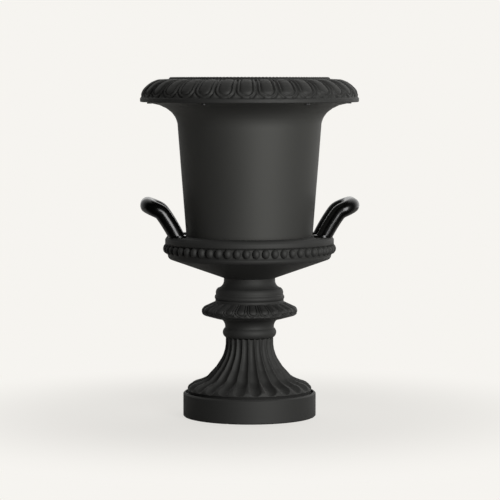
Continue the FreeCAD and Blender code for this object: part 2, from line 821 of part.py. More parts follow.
def make_handle(label, turn):
    """Cast bail: two legs that rise from the flange and lean out, and a bar across from one to the other."""
    root_reach = "leg_foot - leg_root / tan(leg_lean)"
    elbow_slope = "2 * atan(elbow_height / elbow_reach) / 1 deg - leg_lean"
    turn_height = "elbow_height + turn_reach * tan((%s + bar_tilt) / 2)" % elbow_slope
    body = new_body(label, "flange_top", turn)
    root = new_sketch(body, label + "_leg_end", lift="-leg_root", shift=root_reach, tilt="leg_lean - 90")
    circle(root, "handle_radius", y="handle_spread")
    rise = new_sketch(body, label + "_leg_line", "XZ_Plane", lift="-handle_spread")
    outline(rise, [
        (root_reach, "-leg_root"),
        ("leg_foot", "0", Curve.SMOOTH),
        ("elbow_place", "elbow_height", Curve.SMOOTH),
        ("turn_place", turn_height),
    ], closed=False)
    legs = body.newObject("PartDesign::Mirrored", label + "_legs")
    legs.Originals = [pipe(body, label + "_leg", root, rise)]
    legs.MirrorPlane = (origin_feature(body, "XZ_Plane"), [""])
    body.Tip = legs
    refresh()
    end = new_sketch(body, label + "_bar_end", lift=turn_height, shift="turn_place", tilt="bar_tilt - 90")
    circle(end, "handle_radius", y="handle_spread")
    line = new_sketch(body, label + "_bar_line", lift=turn_height, shift="turn_place", tilt="bar_tilt")
    outline(line, [
        ("0", "-handle_spread", bulge("bar_corner")),
        ("bar_corner", "bar_corner - handle_spread"),
        ("bar_corner", "handle_spread - bar_corner", bulge("bar_corner")),
        ("0", "handle_spread"),
    ], closed=False)
    pipe(body, label + "_bar", end, line)
    pads = new_sketch(body, label + "_pads")
    trim = new_sketch(body, label + "_root_trim")
    taps = new_sketch(body, label + "_tapping")
    for place in ("handle_spread", "-handle_spread"):
        circle(pads, "pad_radius", "handle_axis", place)
        circle(trim, "2 * handle_radius", "handle_axis", place)
        circle(taps, "bolt_radius + thread_gap", "handle_axis", place)
    pad(body, pads, "pad_height")
    pocket(body, trim, "2 * leg_root")
    pocket(body, taps, "bolt_grip + bolt_clearance", upwards=True)


def primitive(kind, label, sizes, spot):
    """Part primitive with its sizes, and the coordinates of its base, held by expressions."""
    solid = doc.addObject(kind, label)
    for name, expression in sizes.items():
        bind(solid, name, expression)
    for axis, expression in zip("xyz", spot):
        bind(solid, "Placement.Base." + axis, expression)
    return solid


def cylinder(label, radius, height, *spot):
    return primitive("Part::Cylinder", label, {"Radius": radius, "Height": height}, spot)


def fused(label, *solids):
    union = doc.addObject("Part::MultiFuse", label)
    union.Shapes = solids
    return union


def group(label, solids):
    """Separate solids that are alike, kept as one piece at the height of the bowl's flange."""
    compound = doc.addObject("Part::Compound", label)
    compound.Label = label
    compound.Links = solids
    bind(compound, "Placement.Base.z", "flange_top")
    pieces.append(compound)


def make_handle_fasteners():
    washer_face = "-flange_thickness - bolt_washer_thickness"
    head_face = washer_face + " - bolt_head_height"
    bolts = []
    washers = []
    for side in ("", "-"):
        for end in ("", "-"):
            name = "%d" % len(bolts)
            spot = (side + "handle_axis", end + "handle_spread")
            shank = cylinder("shank" + name, "bolt_radius", "bolt_grip - (%s)" % head_face, *spot, head_face)
            head = primitive("Part::Prism", "head" + name, {
                "Circumradius": "bolt_head_flats / (2 * cos(30))",
                "Height": "bolt_head_height",
            }, (*spot, head_face))
            head.Polygon = 6
            bolts.append(fused("bolt" + name, shank, head))
            washer = doc.addObject("Part::Cut", "washer" + name)
            washer.Base = cylinder(
                "disc" + name, "bolt_washer_radius", "bolt_washer_thickness", *spot, washer_face,
            )
            washer.Tool = cylinder(
                "hole" + name, "bolt_radius + fit_gap", "bolt_washer_thickness", *spot, washer_face,
            )
            washers.append(washer)
    group("handle_bolts", bolts)
    group("handle_washers", washers)


def make_rim_screws():
    screws = []
    for i in range(round(value("rim_screw_count"))):
        turn = "(rim_turn + %d * 360 / rim_screw_count)" % i
        spot = ("rim_screw_circle * cos" + turn, "rim_screw_circle * sin" + turn)
        shank = cylinder(
            "screw_shank%d" % i, "rim_screw_radius",
            "bell_height - spotface_height + rim_screw_grip - fit_gap", *spot, "spotface_height",
        )
        head = cylinder(
            "screw_head%d" % i, "rim_screw_head_radius", "rim_screw_head_height",
            *spot, "spotface_height - rim_screw_head_height",
        )
        screws.append(fused("screw%d" % i, shank, head))
    group("rim_screws", screws)


def make_washer(label, seat, radius, thickness):
    bore = "rod_radius + bolt_clearance"
    turned(new_body(label, seat), [(bore, "0"), (radius, "0"), (radius, thickness), (bore, thickness)])


def make_nut(label, seat):
    body = new_body(label, seat)
    sketch = new_sketch(body, label + "_flats")
    reach = "nut_flats / (2 * cos(30))"
    outline(sketch, [("%s * cos(%d)" % (reach, a), "%s * sin(%d)" % (reach, a)) for a in range(0, 360, 60)])
    circle(sketch, "rod_radius + thread_gap")
    pad(body, sketch, "nut_height")


def make_clamp_bar():
    body = new_body("clamp_bar", "bar_seat")
    sketch = new_sketch(body, "clamp_bar_outline")
    half_length = "plinth_bore + clamp_bar_landing"
    half_width = "clamp_bar_width / 2"
    outline(sketch, [
        ("-(%s)" % half_length, "-" + half_width),
        (half_length, "-" + half_width),
        (half_length, half_width),
        ("-(%s)" % half_length, half_width),
    ])
    circle(sketch, "rod_hole")
    pad(body, sketch, "clamp_bar_thickness")


def make_tie_rod():
    turned(new_body("tie_rod", "rod_seat"), [
        ("0", "0"),
        ("rod_radius - rod_chamfer", "0"),
        ("rod_radius", "rod_chamfer"),
        ("rod_radius", "rod_length - rod_chamfer"),
        ("rod_radius - rod_chamfer", "rod_length"),
        ("0", "rod_length"),
    ])


def check():
    """Stops on a failed object, a sketch that isn't fully held or a piece that isn't made of valid solids."""
    for thing in doc.Objects:
        if "Invalid" in thing.State or "Error" in thing.State:
            raise RuntimeError("%s: %s" % (thing.Label, thing.State))
        if thing.isDerivedFrom("Sketcher::SketchObject") and not thing.FullyConstrained:
            raise RuntimeError(thing.Label + " isn't fully held")
    for piece in pieces:
        if piece.Shape.isNull() or not piece.Shape.isValid() or not piece.Shape.Solids:
            raise RuntimeError(piece.Label + " has no valid shape")


def main():
    make_plinth()
    make_foot()
    make_collar()
    make_neck()
    make_bowl()
    make_bell()
    make_lip()
    make_handle_fasteners()
    make_clamp_bar()
    make_washer("bottom_washer", "bottom_washer_seat", "bottom_washer_radius", "bottom_washer_thickness")
    make_nut("bottom_nut", "bottom_nut_seat")
    make_washer("top_plate_washer", "plate_washer_seat", "plate_washer_radius", "plate_washer_thickness")
    make_nut("top_nut", "top_nut_seat")
    make_tie_rod()
    make_rim_screws()
    make_handle("handle_right", None)
    make_handle("handle_left", "180")
    refresh()
    check()
    os.makedirs("parts", exist_ok=True)
    for piece in pieces:
        piece.Shape.exportStep("parts/%s.step" % piece.Label)


main()
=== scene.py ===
"""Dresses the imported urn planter: turned castings with relief, black handles, zinc hardware, pale studio."""
import math

import bpy
import numpy as np
from bpy.props import FloatProperty, FloatVectorProperty, IntProperty, PointerProperty
from mathutils import Matrix, Vector


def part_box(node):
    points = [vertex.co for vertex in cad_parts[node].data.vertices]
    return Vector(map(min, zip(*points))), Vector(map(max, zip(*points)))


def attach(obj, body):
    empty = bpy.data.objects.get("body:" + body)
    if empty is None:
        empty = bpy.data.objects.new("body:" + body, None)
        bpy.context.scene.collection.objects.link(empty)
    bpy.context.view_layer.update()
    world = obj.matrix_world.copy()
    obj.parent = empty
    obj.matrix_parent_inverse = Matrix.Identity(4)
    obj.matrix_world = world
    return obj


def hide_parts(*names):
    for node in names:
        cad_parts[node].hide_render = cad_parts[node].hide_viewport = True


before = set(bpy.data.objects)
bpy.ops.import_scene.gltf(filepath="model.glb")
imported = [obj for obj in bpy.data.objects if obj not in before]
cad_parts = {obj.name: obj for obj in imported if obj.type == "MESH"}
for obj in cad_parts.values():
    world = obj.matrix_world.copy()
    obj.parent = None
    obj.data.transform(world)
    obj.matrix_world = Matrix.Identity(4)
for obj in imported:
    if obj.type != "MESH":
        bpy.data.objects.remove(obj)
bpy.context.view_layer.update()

bl_info = {
    "name": "Urn planter",
    "version": (1, 0, 0),
    "blender": (4, 5, 0),
    "location": "3D View > Sidebar > Urn",
    "description": "Castings, finishes and studio of a two-handled campana urn planter",
    "category": "Object",
}

MM = 0.001
TAU = 2 * math.pi
FRONT = -90.0  # bearing of the front, in degrees from +X
SPIGOT = 8 * MM  # how far a casting reaches down into the one below
SKIRT = 14 * MM  # how far the lip's skirt hangs below its seat

# Heights where one casting stands on another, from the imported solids.
FOOT_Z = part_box("fluted_foot")[0].z
COLLAR_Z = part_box("stem_collar")[0].z + SPIGOT
BOWL_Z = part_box("lower_bowl")[0].z + SPIGOT
RIM_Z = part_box("rim_lip")[0].z + SKIRT


class UrnSizes(bpy.types.PropertyGroup):
    """Relief of the ornament, which is plainer in the solids."""

    flute_round: FloatProperty(
        name="Flute rounding", description="Width over which a ridge rolls over into its flutes",
        default=0.9 * MM, unit="LENGTH",
    )
    rim_relief: FloatProperty(
        name="Rim relief", description="Depth of the grooves round the eggs of the rim",
        default=4.4 * MM, unit="LENGTH",
    )
    collar_relief: FloatProperty(
        name="Collar relief", description="Depth of the grooves round the eggs of the collar",
        default=3.0 * MM, unit="LENGTH",
    )
    rope_relief: FloatProperty(
        name="Rope relief", description="Depth of the lay of the rope ring", default=1.7 * MM, unit="LENGTH",
    )
    rope_strands: IntProperty(
        name="Rope strands", description="Strands that show round the rope ring", default=132,
    )
    pearl_width: FloatProperty(
        name="Pearl width", description="Width of a pearl along the band", default=17.6 * MM, unit="LENGTH",
    )
    pearl_height: FloatProperty(
        name="Pearl height", description="Height of a pearl", default=21.5 * MM, unit="LENGTH",
    )
    chip_depth: FloatProperty(
        name="Chip depth", description="Deepest chip in the plinth's lower edge",
        default=2.6 * MM, unit="LENGTH",
    )


class UrnFinish(bpy.types.PropertyGroup):
    """Colours and gloss of the finishes."""

    iron: FloatVectorProperty(
        name="Iron", description="Colour of the blackened iron", subtype="COLOR",
        default=(0.0014, 0.0014, 0.0013),
    )
    worn: FloatVectorProperty(
        name="Worn iron", description="Colour of bare specks, streaks and worn edges", subtype="COLOR",
        default=(0.060, 0.059, 0.056),
    )
    dust: FloatVectorProperty(
        name="Dust", description="Colour of the dusty patches", subtype="COLOR",
        default=(0.0055, 0.0053, 0.0048),
    )
    zinc: FloatVectorProperty(
        name="Zinc", description="Colour of the plated fasteners", subtype="COLOR",
        default=(0.42, 0.41, 0.39),
    )
    iron_gloss: FloatProperty(
        name="Iron roughness", description="Roughness of blackened iron", subtype="FACTOR",
        default=0.24, min=0, max=1,
    )
    bell_gloss: FloatProperty(
        name="Bell roughness", description="Roughness of brushed iron", subtype="FACTOR",
        default=0.21, min=0, max=1,
    )


class UrnStudio(bpy.types.PropertyGroup):
    """Camera and light."""

    lens: FloatProperty(name="Lens", description="Focal length in millimetres", default=172.8)
    distance: FloatProperty(
        name="Distance", description="From the camera to the middle of the urn", default=5.378, unit="LENGTH",
    )
    aim: FloatProperty(name="Aim", description="Height that the camera looks at", default=0.373, unit="LENGTH")
    pitch: FloatProperty(
        name="Pitch", description="How far the camera looks down", default=math.radians(4.3), subtype="ANGLE",
    )
    swing: FloatProperty(
        name="Swing", description="How far the camera stands to the left", default=math.radians(2.3),
        subtype="ANGLE",
    )
    roll: FloatProperty(name="Roll", description="Tilt of the camera", default=0.0, subtype="ANGLE")
    paper: FloatVectorProperty(
        name="Paper", description="Colour of the floor and the background", subtype="COLOR",
        default=(0.922, 0.905, 0.871),
    )
    key_power: FloatProperty(name="Key light", description="Power of the key light in watts", default=42.0)
    ambient: FloatProperty(name="Ambient", description="Strength of the pale surroundings", default=1.0)


# --- meshes ---

SECTORS = 24  # parts of a full turn, of which one is spun and the rest are copies
CORNER_MERGE = 0.00002
OUTLINE_MERGE = 0.0006
OUTLINE_BEND = math.radians(7)
SEAM_MERGE = 0.00003
SMOOTH_ANGLE = math.radians(32)
WAVES = 5  # waves of each length in the unevenness
PROUD_ROUNDS = 2
PROUD_GAIN = 2.2


def select_only(*things):
    """Leaves only these objects selected, the first of them active, in object mode."""
    if bpy.context.object and bpy.context.object.mode != "OBJECT":
        bpy.ops.object.mode_set(mode="OBJECT")
    bpy.ops.object.select_all(action="DESELECT")
    for thing in things:
        thing.select_set(True)
    bpy.context.view_layer.objects.active = things[0]


def points_of(piece):
    """Vertex places as an array."""
    spots = np.zeros(len(piece.data.vertices) * 3)
    piece.data.vertices.foreach_get("co", spots)
    return spots.reshape(-1, 3)


def put_points(piece, spots):
    """Moves the vertices to these places."""
    piece.data.vertices.foreach_set("co", spots.ravel())
    piece.data.update()


def normals_of(piece):
    """Vertex normals as an array."""
    facing = np.zeros(len(piece.data.vertices) * 3)
    piece.data.vertices.foreach_get("normal", facing)
    return facing.reshape(-1, 3)


def edge_ends(mesh):
    """Numbers of the two vertices of each edge."""
    ends = np.zeros(len(mesh.edges) * 2, int)
    mesh.edges.foreach_get("vertices", ends)
    return ends.reshape(-1, 2)


def merged_copy(node, name):
    """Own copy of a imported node, with its loose triangles joined."""
    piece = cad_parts[node].copy()
    piece.data = piece.data.copy()
    piece.name = name
    for key in list(piece.keys()):
        del piece[key]
    piece.parent = None
    bpy.context.scene.collection.objects.link(piece)
    piece.data.materials.clear()
    select_only(piece)
    bpy.ops.object.mode_set(mode="EDIT")
    bpy.ops.mesh.select_all(action="SELECT")
    bpy.ops.mesh.remove_doubles(threshold=CORNER_MERGE)
    bpy.ops.object.mode_set(mode="OBJECT")
    return piece


def select_edges(piece, wanted):
    """Selects the edges with these numbers, and goes into edit mode."""
    select_only(piece)
    bpy.ops.object.mode_set(mode="EDIT")
    bpy.ops.mesh.select_mode(type="EDGE")
    bpy.ops.mesh.select_all(action="DESELECT")
    bpy.ops.object.mode_set(mode="OBJECT")
    for number in wanted:
        piece.data.edges[number].select = True
    bpy.ops.object.mode_set(mode="EDIT")


def section(piece, bearing):
    """Keeps only the piece's outline in the half plane at a bearing from +X, in degrees."""
    along = Vector((math.cos(math.radians(bearing)), math.sin(math.radians(bearing)), 0))
    select_only(piece)
    bpy.ops.object.mode_set(mode="EDIT")
    bpy.ops.mesh.select_all(action="SELECT")
    bpy.ops.mesh.bisect(
        plane_co=(0, 0, 0), plane_no=(-along.y, along.x, 0), clear_inner=True, clear_outer=True,
        threshold=1e-6,
    )
    bpy.ops.object.mode_set(mode="OBJECT")
    behind = points_of(piece) @ np.array(along) < 0
    bpy.ops.object.mode_set(mode="EDIT")
    bpy.ops.mesh.select_mode(type="VERT")
    bpy.ops.mesh.select_all(action="DESELECT")
    bpy.ops.object.mode_set(mode="OBJECT")
    piece.data.vertices.foreach_set("select", behind)
    bpy.ops.object.mode_set(mode="EDIT")
    bpy.ops.mesh.delete(type="VERT")
    bpy.ops.mesh.select_all(action="SELECT")
    bpy.ops.mesh.remove_doubles(threshold=OUTLINE_MERGE)
    bpy.ops.mesh.select_all(action="SELECT")
    bpy.ops.mesh.dissolve_limited(angle_limit=OUTLINE_BEND)
    bpy.ops.object.mode_set(mode="OBJECT")


def edge_mark(spots, ends):
    """Mark of an edge by its middle, which stays the same while other edges are divided."""
    return tuple(np.round(spots[list(ends)].sum(0), 7))


def refine(piece, step, coarse, low, high, least_reach):
    """Divides the outline's long edges: finely between two heights outside a radius, and coarsely elsewhere."""
    spots = points_of(piece)
    ends = edge_ends(piece.data)
    middle = (spots[ends[:, 0]] + spots[ends[:, 1]]) / 2
    length = np.linalg.norm(spots[ends[:, 0]] - spots[ends[:, 1]], axis=1)
    reach = np.hypot(middle[:, 0], middle[:, 1])
    fine = (middle[:, 2] > low) & (middle[:, 2] < high) & (reach > least_reach)
    cuts = np.floor(length / np.where(fine, step, coarse)).astype(int)
    for count in range(cuts.max(), 0, -1):
        marks = {edge_mark(spots, pair) for pair in ends[cuts == count]}
        if not marks:
            continue
        now = points_of(piece)
        wanted = [edge.index for edge in piece.data.edges if edge_mark(now, edge.vertices) in marks]
        select_edges(piece, wanted)
        bpy.ops.mesh.subdivide(number_cuts=count)
        bpy.ops.object.mode_set(mode="OBJECT")


def spun(piece, steps):
    """Spins the outline through one sector, repeats that right round, and turns the faces outwards."""
    select_only(piece)
    bpy.ops.object.mode_set(mode="EDIT")
    bpy.ops.mesh.select_all(action="SELECT")
    bpy.ops.mesh.spin(steps=steps // SECTORS, angle=TAU / SECTORS, center=(0, 0, 0), axis=(0, 0, 1))
    bpy.ops.object.mode_set(mode="OBJECT")
    sector = piece.data.copy()
    copies = []
    for i in range(1, SECTORS):
        copy = bpy.data.objects.new(piece.name, sector.copy())
        copy.data.transform(Matrix.Rotation(i * TAU / SECTORS, 4, "Z"))
        bpy.context.scene.collection.objects.link(copy)
        copies.append(copy)
    select_only(piece, *copies)
    bpy.ops.object.join()
    bpy.ops.object.mode_set(mode="EDIT")
    bpy.ops.mesh.select_all(action="SELECT")
    bpy.ops.mesh.remove_doubles(threshold=SEAM_MERGE)
    bpy.ops.mesh.select_all(action="SELECT")
    bpy.ops.mesh.normals_make_consistent(inside=False)
    bpy.ops.object.mode_set(mode="OBJECT")


def turned(node, name, bearing, steps, step=0.004, coarse=0.012, low=-1.0, high=2.0, least_reach=0.0):
    """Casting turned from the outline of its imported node."""
    piece = merged_copy(node, name)
    section(piece, bearing)
    refine(piece, step, coarse, low, high, least_reach)
    spun(piece, steps)
    return piece


def cylindrical(spots):
    """Radius, and bearing in radians, of each point."""
    return np.hypot(spots[:, 0], spots[:, 1]), np.arctan2(spots[:, 1], spots[:, 0])


def around(reach, bearing, height):
    """Points at these radii, bearings in radians and heights."""
    return np.stack([reach * np.cos(bearing), reach * np.sin(bearing), height], axis=1)


def radial_share(facing, bearing):
    """How far each normal points away from the axis."""
    return facing[:, 0] * np.cos(bearing) + facing[:, 1] * np.sin(bearing)


def pitch_place(bearing, count, first):
    """Place of each bearing in its own repeat, from -1 to 1, and the bearing of that repeat's middle."""
    pitch = TAU / count
    number = np.round((bearing - math.radians(first)) / pitch)
    middle = math.radians(first) + number * pitch
    return (bearing - middle) / (pitch / 2), middle


def noise(places, seed, sizes):
    """Smooth seeded unevenness of about -1 to 1, from a sum of waves of the given lengths."""
    draw = np.random.default_rng(seed)
    total = np.zeros(len(places))
    for size in sizes:
        for _ in range(WAVES):
            way = draw.normal(size=3)
            way /= np.linalg.norm(way)
            total += np.sin(places @ way * TAU / size + draw.uniform(0, TAU)) / WAVES
    return total / math.sqrt(len(sizes))


def mark_edges(piece):
    """Stores how far each vertex stands proud of its neighbours (over 0.5) or lies in a hollow (under 0.5)."""
    spots, facing = points_of(piece), normals_of(piece)
    a, b = edge_ends(piece.data).T
    gap = spots[a] - spots[b]
    length = np.maximum(np.linalg.norm(gap, axis=1), 1e-6)
    size = len(spots)
    number = np.maximum(np.bincount(a, minlength=size) + np.bincount(b, minlength=size), 1)
    rise_a = np.einsum("ij,ij->i", facing[a], gap) / length
    rise_b = -np.einsum("ij,ij->i", facing[b], gap) / length
    proud = (np.bincount(a, rise_a, size) + np.bincount(b, rise_b, size)) / number
    for _ in range(PROUD_ROUNDS):
        near = (np.bincount(a, proud[b], size) + np.bincount(b, proud[a], size)) / number
        proud = (proud + near) / 2
    layer = piece.data.attributes.new("proud", "FLOAT", "POINT")
    layer.data.foreach_set("value", np.clip(0.5 + proud * PROUD_GAIN, 0, 1).astype(np.float32))


def finished(piece, node, slot):
    """Smooths the piece, gives it its slot's finish, and puts it in its node's place."""
    select_only(piece)
    bpy.ops.object.shade_smooth_by_angle(angle=SMOOTH_ANGLE)
    mark_edges(piece)
    piece.data.materials.clear()
    piece.data.materials.append(iron_material(slot))
    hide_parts(node)
    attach(piece, "root")


# --- relief ---

# Heights across half an egg and its border: distance from the egg's middle line over half the pitch, and
# the height as a share of the relief.
EGG_SECTION = (
    (0.00, 0.00), (0.15, -0.01), (0.30, -0.07), (0.42, -0.18), (0.50, -0.36), (0.55, -0.60), (0.59, -0.95),
    (0.63, -0.90), (0.67, -0.42), (0.72, -0.20), (0.78, -0.16), (0.83, -0.26), (0.87, -0.60), (0.91, -0.97),
    (0.96, -1.00), (1.01, -0.96), (1.06, -0.55), (1.13, -0.32), (1.40, -0.28),
)
# As shares of half a pitch: how far the columns are drawn towards the darts, the height of the middle of an
# egg's round end, and the height over which the relief sets in.
EGG_DRAW = 0.11
EGG_END = 0.93
EGG_FADE = 0.06
EGG_LEAN = 0.2  # how far a face looks out and up where it carries eggs

FLUTES = 24
FLUTE_MIDDLE = 3.2  # bearing of the middle of a flute, in degrees
# Up the foot: height over its seat, radius of the channel and its depth under the ridges, in millimetres.
FLUTE_STATIONS = ((42.5, 13.8, 7.6), (56.9, 10.2, 6.5), (94.7, 7.2, 4.6), (138.7, 5.8, 3.6))
FLUTE_TOP = 137 * MM
FLUTE_FADE = 7 * MM
FLUTE_REACH = 0.125
SHOULDER = (118.0 * MM, 30.8 * MM)  # radius and height of the ridges where the foot turns down to its edge
EDGE_LIE = math.radians(24)
EDGE_CHANNEL = (17.0, 8.0, 28.0)  # radius and depth of a channel at its outer end, and its length to there
EDGE_BOTTOM = 11.5 * MM
EDGE_REACH = 0.1


def moulding_depth(spots, zone):
    """Length along the outline, from the lowest point of the zone up, for the vertices in it."""
    reach = np.hypot(spots[:, 0], spots[:, 1])
    key = np.round((spots[:, 2] - reach) * 1e5)[zone]
    rows, row = np.unique(key, return_inverse=True)
    number = np.bincount(row)
    row_reach = np.bincount(row, reach[zone]) / number
    row_height = np.bincount(row, spots[zone, 2]) / number
    steps = np.hypot(np.diff(row_reach), np.diff(row_height))
    return np.concatenate([[0], np.cumsum(steps)])[row]


def egg_and_dart(piece, low, high, least_reach, count, dart, relief):
    """Carves eggs, their borders and the darts between them into a moulding, between two heights."""
    spots, facing = points_of(piece), normals_of(piece)
    reach, start = cylindrical(spots)
    outward = radial_share(facing, start) + facing[:, 2] > EGG_LEAN
    zone = outward & (reach > least_reach) & (spots[:, 2] > low) & (spots[:, 2] < high)
    place, middle = pitch_place(start, count, dart + 180 / count)
    drawn = place + EGG_DRAW * np.sin(math.pi * place)
    bearing = middle + drawn * math.pi / count
    spots = around(reach, bearing, spots[:, 2])
    height = moulding_depth(spots, zone)
    half_pitch = reach[zone][np.argmin(height)] * math.pi / count
    below = np.maximum(EGG_END * half_pitch - height, 0) / half_pitch
    shape = np.interp(np.hypot(drawn[zone], below), *zip(*EGG_SECTION))
    fade = np.clip(height / (EGG_FADE * half_pitch), 0, 1)
    depth = np.zeros(len(spots))
    depth[zone] = relief * shape * fade
    turn = np.arctan2(facing[:, 1], facing[:, 0]) + bearing - start
    facing = around(np.hypot(facing[:, 0], facing[:, 1]), turn, facing[:, 2])
    put_points(piece, spots + facing * depth[:, None])


def channel_floor(channel, depth, across):
    """Height of a round channel's floor over the ridge line, at a distance from its middle."""
    inside = np.sqrt(np.maximum(channel**2 - across**2, 0))
    beyond = np.maximum(np.abs(across) - channel, 0)
    return channel - depth - inside + 3 * beyond


def carve_flutes(piece, rounding):
    """Carves the flutes up the foot, and lets them run out over its edge in scallops."""
    spots, facing = points_of(piece), normals_of(piece)
    reach, bearing = cylindrical(spots)
    place = pitch_place(bearing, FLUTES, FLUTE_MIDDLE)[0]
    across = reach * np.sin(place * math.pi / FLUTES)
    height = spots[:, 2] - FOOT_Z
    radial = radial_share(facing, bearing)
    outside = radial * 0.6 + facing[:, 2] > 0.05
    levels, channels, depths = (np.array(column) * MM for column in zip(*FLUTE_STATIONS))

    def cut(over, channel, depth):
        excess = over - channel_floor(channel, depth, across)
        return (excess + np.sqrt(excess**2 + rounding**2)) / 2

    upper = outside & (height >= SHOULDER[1]) & (height < FLUTE_TOP) & (reach < FLUTE_REACH)
    channel, depth = np.interp(height, levels, channels), np.interp(height, levels, depths)
    moved = cut(0, channel, depth) * np.sqrt(np.clip((FLUTE_TOP - height) / FLUTE_FADE, 0, 1))
    spots[upper] -= facing[upper] * moved[upper, None]

    out, up = reach - SHOULDER[0], height - SHOULDER[1]
    run = out * math.cos(EDGE_LIE) - up * math.sin(EDGE_LIE)
    over = out * math.sin(EDGE_LIE) + up * math.cos(EDGE_LIE)
    share = np.clip(run / (EDGE_CHANNEL[2] * MM), 0, 1)
    wide = channels[0] + share * (EDGE_CHANNEL[0] * MM - channels[0])
    deep = depths[0] + share * (EDGE_CHANNEL[1] * MM - depths[0])
    lower = (height < SHOULDER[1]) & (height > EDGE_BOTTOM) & (reach > EDGE_REACH) & (radial > 0)
    moved = cut(over, wide, deep)
    every = np.ones(len(spots))
    way = around(every * math.sin(EDGE_LIE), bearing, every * math.cos(EDGE_LIE))
    spots[lower] -= way[lower] * moved[lower, None]
    put_points(piece, spots)


# --- castings ---

class URN_OT_plinth(bpy.types.Operator):
    """Plinth: a turned drum with a raised rim, chipped along its lower edge"""

    bl_idname = "urn.plinth"
    bl_label = "Plinth"

    CHIP_BAND = 7 * MM  # height over which the chips fade out
    CHIP_REACH = 0.142
    CHIP_START = 0.55  # unevenness at which the iron has chipped
    CHIP_LIMIT = 1.4
    CHIP_SHARE = 0.8  # how far a chip goes in, and as far up, as a share of its depth

    def execute(self, context):
        piece = turned(
            "plinth", "plinth_casting", bearing=7.3, steps=432, step=0.003, coarse=0.02, low=0.0, high=0.03,
            least_reach=0.146,
        )
        spots = points_of(piece)
        reach, bearing = cylindrical(spots)
        low = np.clip(1 - spots[:, 2] / self.CHIP_BAND, 0, 1) * (reach > self.CHIP_REACH)
        rough = noise(spots, 5, (0.021, 0.011)) + 0.6 * noise(spots, 6, (0.006,))
        depth = context.scene.urn_sizes.chip_depth
        chip = np.clip(rough - self.CHIP_START, 0, self.CHIP_LIMIT) * depth * low
        moved = self.CHIP_SHARE * chip
        put_points(piece, around(reach - moved, bearing, spots[:, 2] + moved))
        finished(piece, "plinth", "aged_iron")
        return {"FINISHED"}


class URN_OT_foot(bpy.types.Operator):
    """Foot: a bell-shaped stem with 24 flutes that end in scallops"""

    bl_idname = "urn.foot"
    bl_label = "Fluted foot"

    COLUMNS = 26  # across a flute

    def execute(self, context):
        ridge = FLUTE_MIDDLE + 180 / FLUTES
        piece = turned(
            "fluted_foot", "foot_casting", bearing=ridge, steps=FLUTES * self.COLUMNS, step=0.0024, coarse=0.02,
            low=FOOT_Z + 0.01, high=FOOT_Z + 0.14, least_reach=0.054,
        )
        carve_flutes(piece, context.scene.urn_sizes.flute_round)
        finished(piece, "fluted_foot", "aged_iron")
        return {"FINISHED"}


class URN_OT_collar(bpy.types.Operator):
    """Collar: an astragal under a cuff with 24 eggs"""

    bl_idname = "urn.collar"
    bl_label = "Stem collar"

    EGGS = 24
    COLUMNS = 32  # across an egg
    DART = -5.8  # bearing of one of the solid's darts, in degrees
    OFF_CORNER = 0.02  # turns the cut off the solid's own corners
    FRONT_DART = FRONT + 9.2

    def execute(self, context):
        piece = turned(
            "stem_collar", "collar_casting", bearing=self.DART + 180 / self.EGGS + self.OFF_CORNER,
            steps=self.EGGS * self.COLUMNS, step=0.0011, coarse=0.01, low=COLLAR_Z + 0.046, high=COLLAR_Z + 0.08,
            least_reach=0.077,
        )
        egg_and_dart(
            piece, low=COLLAR_Z + 0.0475, high=math.inf, least_reach=0.0785, count=self.EGGS,
            dart=self.FRONT_DART, relief=context.scene.urn_sizes.collar_relief,
        )
        finished(piece, "stem_collar", "aged_iron")
        return {"FINISHED"}


class URN_OT_neck(bpy.types.Operator):
    """Neck: two swelling rings under a waist"""

    bl_idname = "urn.neck"
    bl_label = "Stem neck"

    def execute(self, context):
        piece = turned("stem_neck", "neck_casting", bearing=4.0, steps=192)
        finished(piece, "stem_neck", "aged_iron")
        return {"FINISHED"}


class URN_OT_bowl(bpy.types.Operator):
    """Lower bowl: a shallow dish with a band of 56 pearls"""

    bl_idname = "urn.bowl"
    bl_label = "Lower bowl"

    PEARLS = 56
    FRONT_PEARL = FRONT + 2.2
    PEARL_SPOT = (184.8 * MM, 0, BOWL_Z + 66.0 * MM)
    PEARL_PROUD = 9.0 * MM  # half its thickness, away from the axis

    def execute(self, context):
        piece = turned("lower_bowl", "bowl_casting", bearing=89.0, steps=288)
        pearls = self.pearls(context.scene.urn_sizes)
        finished(piece, "lower_bowl", "aged_iron")
        finished(pearls, "lower_bowl", "aged_iron")
        return {"FINISHED"}

    def pearls(self, sizes):
        """One pearl, copied round the band and joined."""
        select_only(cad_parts["lower_bowl"])
        bpy.ops.mesh.primitive_uv_sphere_add(segments=20, ring_count=12, radius=1, location=(0, 0, 0))
        pearl = bpy.context.object
        bpy.ops.object.mode_set(mode="EDIT")
        bpy.ops.mesh.select_all(action="SELECT")
        bpy.ops.transform.resize(value=(self.PEARL_PROUD, sizes.pearl_width / 2, sizes.pearl_height / 2))
        bpy.ops.transform.translate(value=self.PEARL_SPOT)
        bpy.ops.object.mode_set(mode="OBJECT")
        copies = []
        for i in range(self.PEARLS):
            copy = pearl.copy()
            copy.data = pearl.data.copy()
            bpy.context.scene.collection.objects.link(copy)
            turn = math.radians(self.FRONT_PEARL) + i * TAU / self.PEARLS
            copy.data.transform(Matrix.Rotation(turn, 4, "Z"))
            copies.append(copy)
        bpy.data.objects.remove(pearl)
        select_only(*copies)
        bpy.ops.object.join()
        band = bpy.context.object
        band.name = "pearl_band"
        return band


